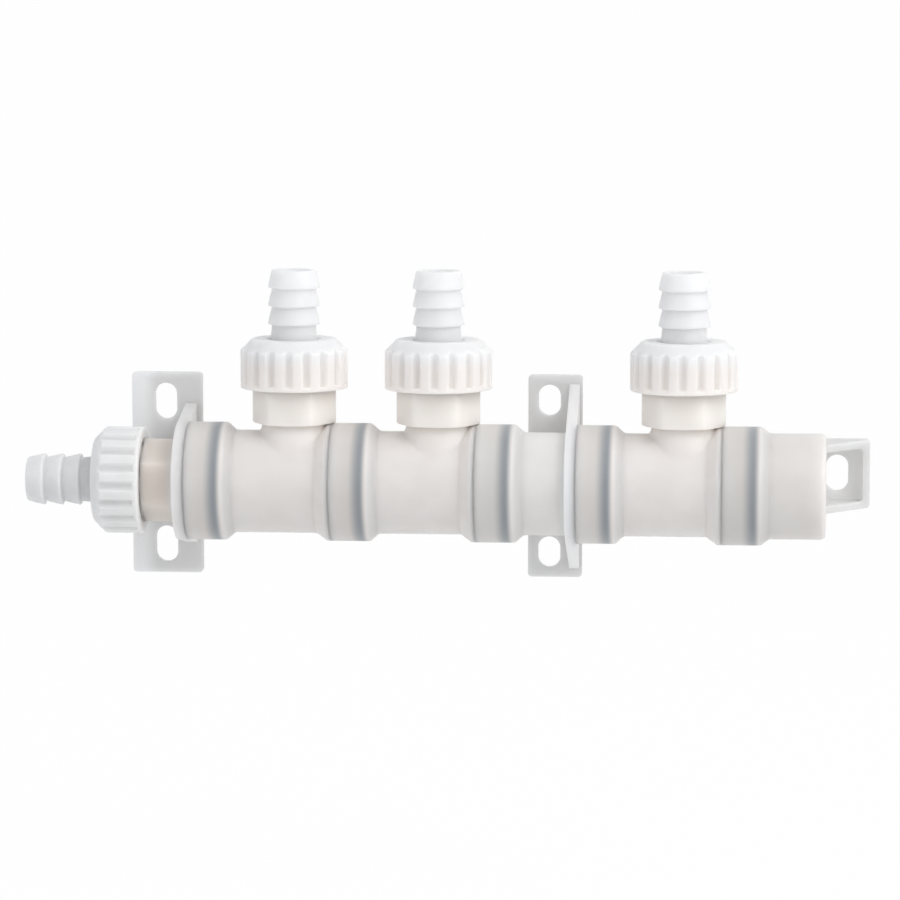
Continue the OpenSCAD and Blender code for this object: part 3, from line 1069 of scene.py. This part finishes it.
@dataclass
class Studio:
    """Pale floor, soft lamps and the camera."""

    aim: tuple[float, float, float] = (0.0835, -0.0214, 0.0)
    azimuth: float = 4.6
    elevation: float = 7.44
    distance: float = 1.4005
    lens: float = 180.0
    shift: tuple[float, float] = (0.0282, 0.0363)
    floor_z: float = -0.14
    floor_reach: float = 30.0
    floor_cells: int = 12
    floor_behind: float = 5.0
    floor_white: float = 0.98
    world_light: float = 0.68

    def camera(self) -> None:
        """Places the camera and makes it the scene's own."""
        az, el = math.radians(self.azimuth), math.radians(self.elevation)
        way = Vector((math.sin(az) * math.cos(el), -math.cos(az) * math.cos(el), math.sin(el)))
        data = bpy.data.cameras.new("camera")
        data.lens, data.sensor_width = self.lens, 36.0
        data.shift_x, data.shift_y = self.shift
        data.clip_end = 100.0
        made = bpy.data.objects.new("camera", data)
        made.location = Vector(self.aim) + way * self.distance
        made.rotation_euler = (-way).to_track_quat("-Z", "Y").to_euler()
        bpy.context.scene.collection.objects.link(made)
        bpy.context.scene.camera = made

    def lamp(self, name: str, place: tuple, size: float, watts: float, colour: str) -> None:
        """Adds a square soft lamp that points at the object."""
        data = bpy.data.lights.new(name, "AREA")
        data.size, data.energy, data.color = size, watts, linear(colour)[:3]
        made = bpy.data.objects.new(name, data)
        made.location = place
        way = Vector(self.aim) - Vector(place)
        made.rotation_euler = way.to_track_quat("-Z", "Y").to_euler()
        bpy.context.scene.collection.objects.link(made)

    def surround(self) -> None:
        """Sets the world: an even pale grey for light, white where the camera looks past things."""
        world = bpy.data.worlds.new("studio")
        world.use_nodes = True
        bpy.context.scene.world = world
        tree = world.node_tree
        tree.nodes.clear()
        seen = self.seen(tree)
        light = node(tree, "Background", {"Color": linear("#f4f5f7"), "Strength": self.world_light})
        white = node(tree, "Background", {"Color": (1, 1, 1, 1), "Strength": 1.0})
        mix = node(tree, "MixShader", {0: seen, 1: light.outputs[0], 2: white.outputs[0]})
        output = node(tree, "OutputWorld")
        tree.links.new(mix.outputs[0], output.inputs["Surface"])

    @staticmethod
    def seen(tree: bpy.types.NodeTree) -> bpy.types.NodeSocket:
        """One for rays from the camera or through gloss and glass, otherwise nought."""
        path = node(tree, "LightPath").outputs
        share = path["Is Camera Ray"]
        for kind in ("Is Glossy Ray", "Is Transmission Ray"):
            share = node(tree, "Math", {0: share, 1: path[kind]}, operation="MAXIMUM").outputs[0]
        return share

    def floor(self) -> None:
        """Lays a pale floor that stays white to the camera and keeps the object's shadow."""
        cells, line = self.floor_cells, self.floor_cells + 1
        side = np.linspace(-self.floor_reach, self.floor_reach, line)
        x, y = np.meshgrid(side, side + self.floor_behind, indexing="ij")
        points = np.stack([x, y, np.full_like(x, self.floor_z)], axis=-1).reshape(-1, 3)
        row, column = np.meshgrid(np.arange(cells), np.arange(cells), indexing="ij")
        first = (row * line + column).ravel()
        faces = np.stack([first, first + line, first + line + 1, first + 1], axis=1).tolist()
        mesh = bpy.data.meshes.new("floor")
        mesh.from_pydata(points.tolist(), [], faces)
        piece = bpy.data.objects.new("floor", mesh)
        bpy.context.scene.collection.objects.link(piece)
        made = bpy.data.materials.new("matt_white_paper")
        made.use_nodes = True
        tree = made.node_tree
        tree.nodes.clear()
        paper = node(tree, "BsdfDiffuse", {"Color": linear("#f2f2f2")})
        glow = node(tree, "Emission", {"Color": (1, 1, 1, 1), "Strength": 1.0})
        seen = self.seen(tree)
        share = node(tree, "Math", {0: seen, 1: self.floor_white}, operation="MULTIPLY").outputs[0]
        mix = node(tree, "MixShader", {0: share, 1: paper.outputs[0], 2: glow.outputs[0]})
        output = node(tree, "OutputMaterial")
        tree.links.new(mix.outputs[0], output.inputs["Surface"])
        mesh.materials.append(made)

    def build(self) -> None:
        """Sets up the whole studio."""
        bpy.context.scene.view_settings.view_transform = "Standard"
        self.camera()
        self.surround()
        self.floor()
        self.lamp("key", (1.3, -0.9, 1.2), 1.2, 19.0, "#ffffff")
        self.lamp("fill", (-1.1, -1.3, 0.7), 1.2, 4.0, "#f6f9ff")


# ---- The manifold ----


# A plate stands against the wall, so little light comes through it: it is painted greyer, as painted
# shade.
PLATE = Tint("Y", (-3.1, 5), (-2.7, 1), "#d3d3d3")
BASE = NaturalPolypropylene("natural_polypropylene", colour="#e9e8e6", cloud="#e3dfdc")


class Manifold:
    """The whole manifold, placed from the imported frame."""

    def __init__(self) -> None:
        """Finds the pipe's axis from the first O-ring."""
        low, high = self.box("o_ring_1")
        self.axis_y: float = (low[1] + high[1]) / 2

    @staticmethod
    def box(name: str) -> tuple[np.ndarray, np.ndarray]:
        """Lowest and highest corners of a CAD node, in millimetres."""
        low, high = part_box(name)
        return np.array(low) / MM, np.array(high) / MM

    @staticmethod
    def seal_shade_tints(section: Section) -> tuple[Tint, ...]:
        """Painted shade in a socket: the O-ring seen dark through the wall, fading in from the mouth,
        and a paler painted shade over the lit gap beyond it.
        """
        middle = section.x + section.seal_at
        # Painted shade: darker from the mouth towards the seal, paler shade past it, then the seal's
        # dark band.
        return (
            Tint("X", (section.x - 3, middle + 3), (middle - 1, middle - 1), "#c8c4c0", 0.6),
            Tint("X", (middle + 0.8, middle + 6.5), (middle + 3.0, middle + 3.6), "#dcd8d4", 0.8),
            Tint("X", (middle - 3.2, middle + 2.8), (middle + 0.5, middle + 0.8), "#9a9ea2", 1.0),
        )

    @staticmethod
    def union(
        label: str,
        parts: Union,
        tail_slot: str,
        tail: bpy.types.Material,
        nut: bpy.types.Material,
    ) -> None:
        """Makes the nut and hose tail of one union.

        Args:
            label: What follows union_nut_ and hose_tail_ in the nodes' names.
            parts: The union's sizes and place.
            tail_slot: Not used.
            tail: Material of the tail.
            nut: Material of the nut.
        """
        dress(parts.nut(f"union_nut_{label}_moulding"), nut, f"union_nut_{label}")
        dress(parts.hose_tail(f"hose_tail_{label}_moulding"), tail, f"hose_tail_{label}")

    def inlet(self, tail: NaturalPolypropylene) -> None:
        """Makes the inlet adapter and its union.

        Its boss looks warmer, and its plate's left edge is painted paler than the rest, as painted
        light.
        """
        low, _ = self.box("inlet_adapter")
        adapter = InletAdapter(x=self.box("tee_1")[0][0], axis_y=self.axis_y)
        boss = Tint("X", (-20, 7), (-6, 3), "#e0d6cd", 0.9)
        # Painted light: the plate's left edge is painted paler than the plate's painted shade.
        edge = Tint("X", (-20, -2), (-12, -8), "#e9e9e9")
        finish = replace(BASE, name="natural_polypropylene_inlet", tints=(boss, PLATE, edge))
        piece = adapter.build("inlet_adapter_moulding")
        dress(piece, finish.build(), "inlet_adapter")
        nut = NaturalPolypropylene(
            "white_polypropylene_inlet_nut", colour="#e8e8e7", cloud="#e1e1df", cloud_mm=7.0
        )
        milky = replace(
            tail, name="natural_polypropylene_inlet_tail", colour="#dfdfdf", cloud="#d8d8d8"
        )
        at = np.array([low[0] + Union.stub_len, self.axis_y, 0.0])
        parts = Union(Along.INLET, at)
        self.union("inlet", parts, "inlet_tail", milky.build(), nut.build())

    def outlet(self, i: int, tail: bpy.types.Material, nut: bpy.types.Material) -> None:
        """Makes the tee of one outlet and its union, both on the axis of its gasket."""
        low, _ = self.box(f"tee_{i}")
        gasket_low, gasket_high = self.box(f"gasket_{i}")
        branch_x = (gasket_low[0] + gasket_high[0]) / 2
        section = Tee(x=low[0], axis_y=self.axis_y, branch_x=branch_x)
        finish = NaturalPolypropylene(
            f"natural_polypropylene_tee_{i}",
            colour="#efe8e3",
            cloud="#e7dfd9",
            # Painted light: the neck, boss and stub above the pipe are painted paler; the sockets carry
            # the seals' painted shade.
            tints=(Tint("Z", (12, 60), (24, 55), "#f6efe7"),) + self.seal_shade_tints(section),
        )
        dress(section.build(f"tee_{i}_moulding"), finish.build(), f"tee_{i}")
        nut_low, _ = self.box(f"union_nut_{i}")
        at = np.array([branch_x, self.axis_y, nut_low[2] - Union.nut_gap])
        self.union(str(i), Union(Along.BRANCH, at), "hose_tail", tail, nut)

    def joiner(self) -> None:
        """Makes the joiner. Its web is painted paler than its pipe, as painted light."""
        section = Joiner(x=self.box("joiner")[0][0], axis_y=self.axis_y)
        web_to = section.x + section.length
        # Painted light: the web is painted paler to lift its shaded faces.
        web = Tint("X", (section.x + 26, section.x + 33), (section.x + 28, web_to), "#f2f2f1")
        finish = replace(
            BASE,
            name="natural_polypropylene_joiner",
            colour="#eae7e3",
            cloud="#e4dfda",
            tints=self.seal_shade_tints(section) + (web, PLATE),
        )
        dress(section.build("joiner_moulding"), finish.build(), "joiner")

    def end_cap(self) -> None:
        """Makes the end cap. Its tab is painted greyer than its body, as painted shade, and its back
        plate paler than the tab, as painted light.
        """
        section = EndCap(x=self.box("end_cap")[0][0], axis_y=self.axis_y)
        end = section.x + section.length
        # Painted shade on the tab's rim and gussets; painted light on the tab's back plate.
        tab = Tint("X", (end - 1, 260), (end + 3, 250), "#cdcdcc")
        finish = replace(
            BASE,
            name="natural_polypropylene_cap",
            colour="#e1ddd9",
            cloud="#d9d4d0",
            tints=self.seal_shade_tints(section) + (tab, replace(PLATE, colour="#e9e9e8")),
        )
        dress(section.build("end_cap_moulding"), finish.build(), "end_cap")

    @staticmethod
    def seals() -> None:
        """Gives the hidden O-rings and gaskets their rubber."""
        ring = SealRubber("nitrile_rubber_ring").build()
        flat = SealRubber("nitrile_rubber_gasket").build()
        for name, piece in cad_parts.items():
            if name.startswith(("o_ring", "gasket")):
                piece.data.materials.clear()
                piece.data.materials.append(ring if name.startswith("o_ring") else flat)

    def build(self) -> None:
        """Builds every piece in order along the pipe."""
        tail = NaturalPolypropylene(
            "white_polypropylene_tail", colour="#f4f4f4", cloud="#eeeeee", cloud_mm=6.0
        )
        self.inlet(tail)
        nut = NaturalPolypropylene(
            "white_polypropylene_outlet_nut",
            colour="#f3f3f2",
            cloud="#ececeb",
            cloud_mm=7.0,
            tints=(Tint("Z", (20, 43), (28, 35), "#f5ece6"),),
        )
        tail_made, nut_made = tail.build(), nut.build()
        for i in (1, 2, 3):
            self.outlet(i, tail_made, nut_made)
        self.joiner()
        self.end_cap()
        self.seals()


def main() -> None:
    """Builds the studio and the manifold."""
    logging.basicConfig(level=logging.INFO, format="%(name)s %(message)s")
    Studio().build()
    Manifold().build()


if __name__ == "__main__":
    main()
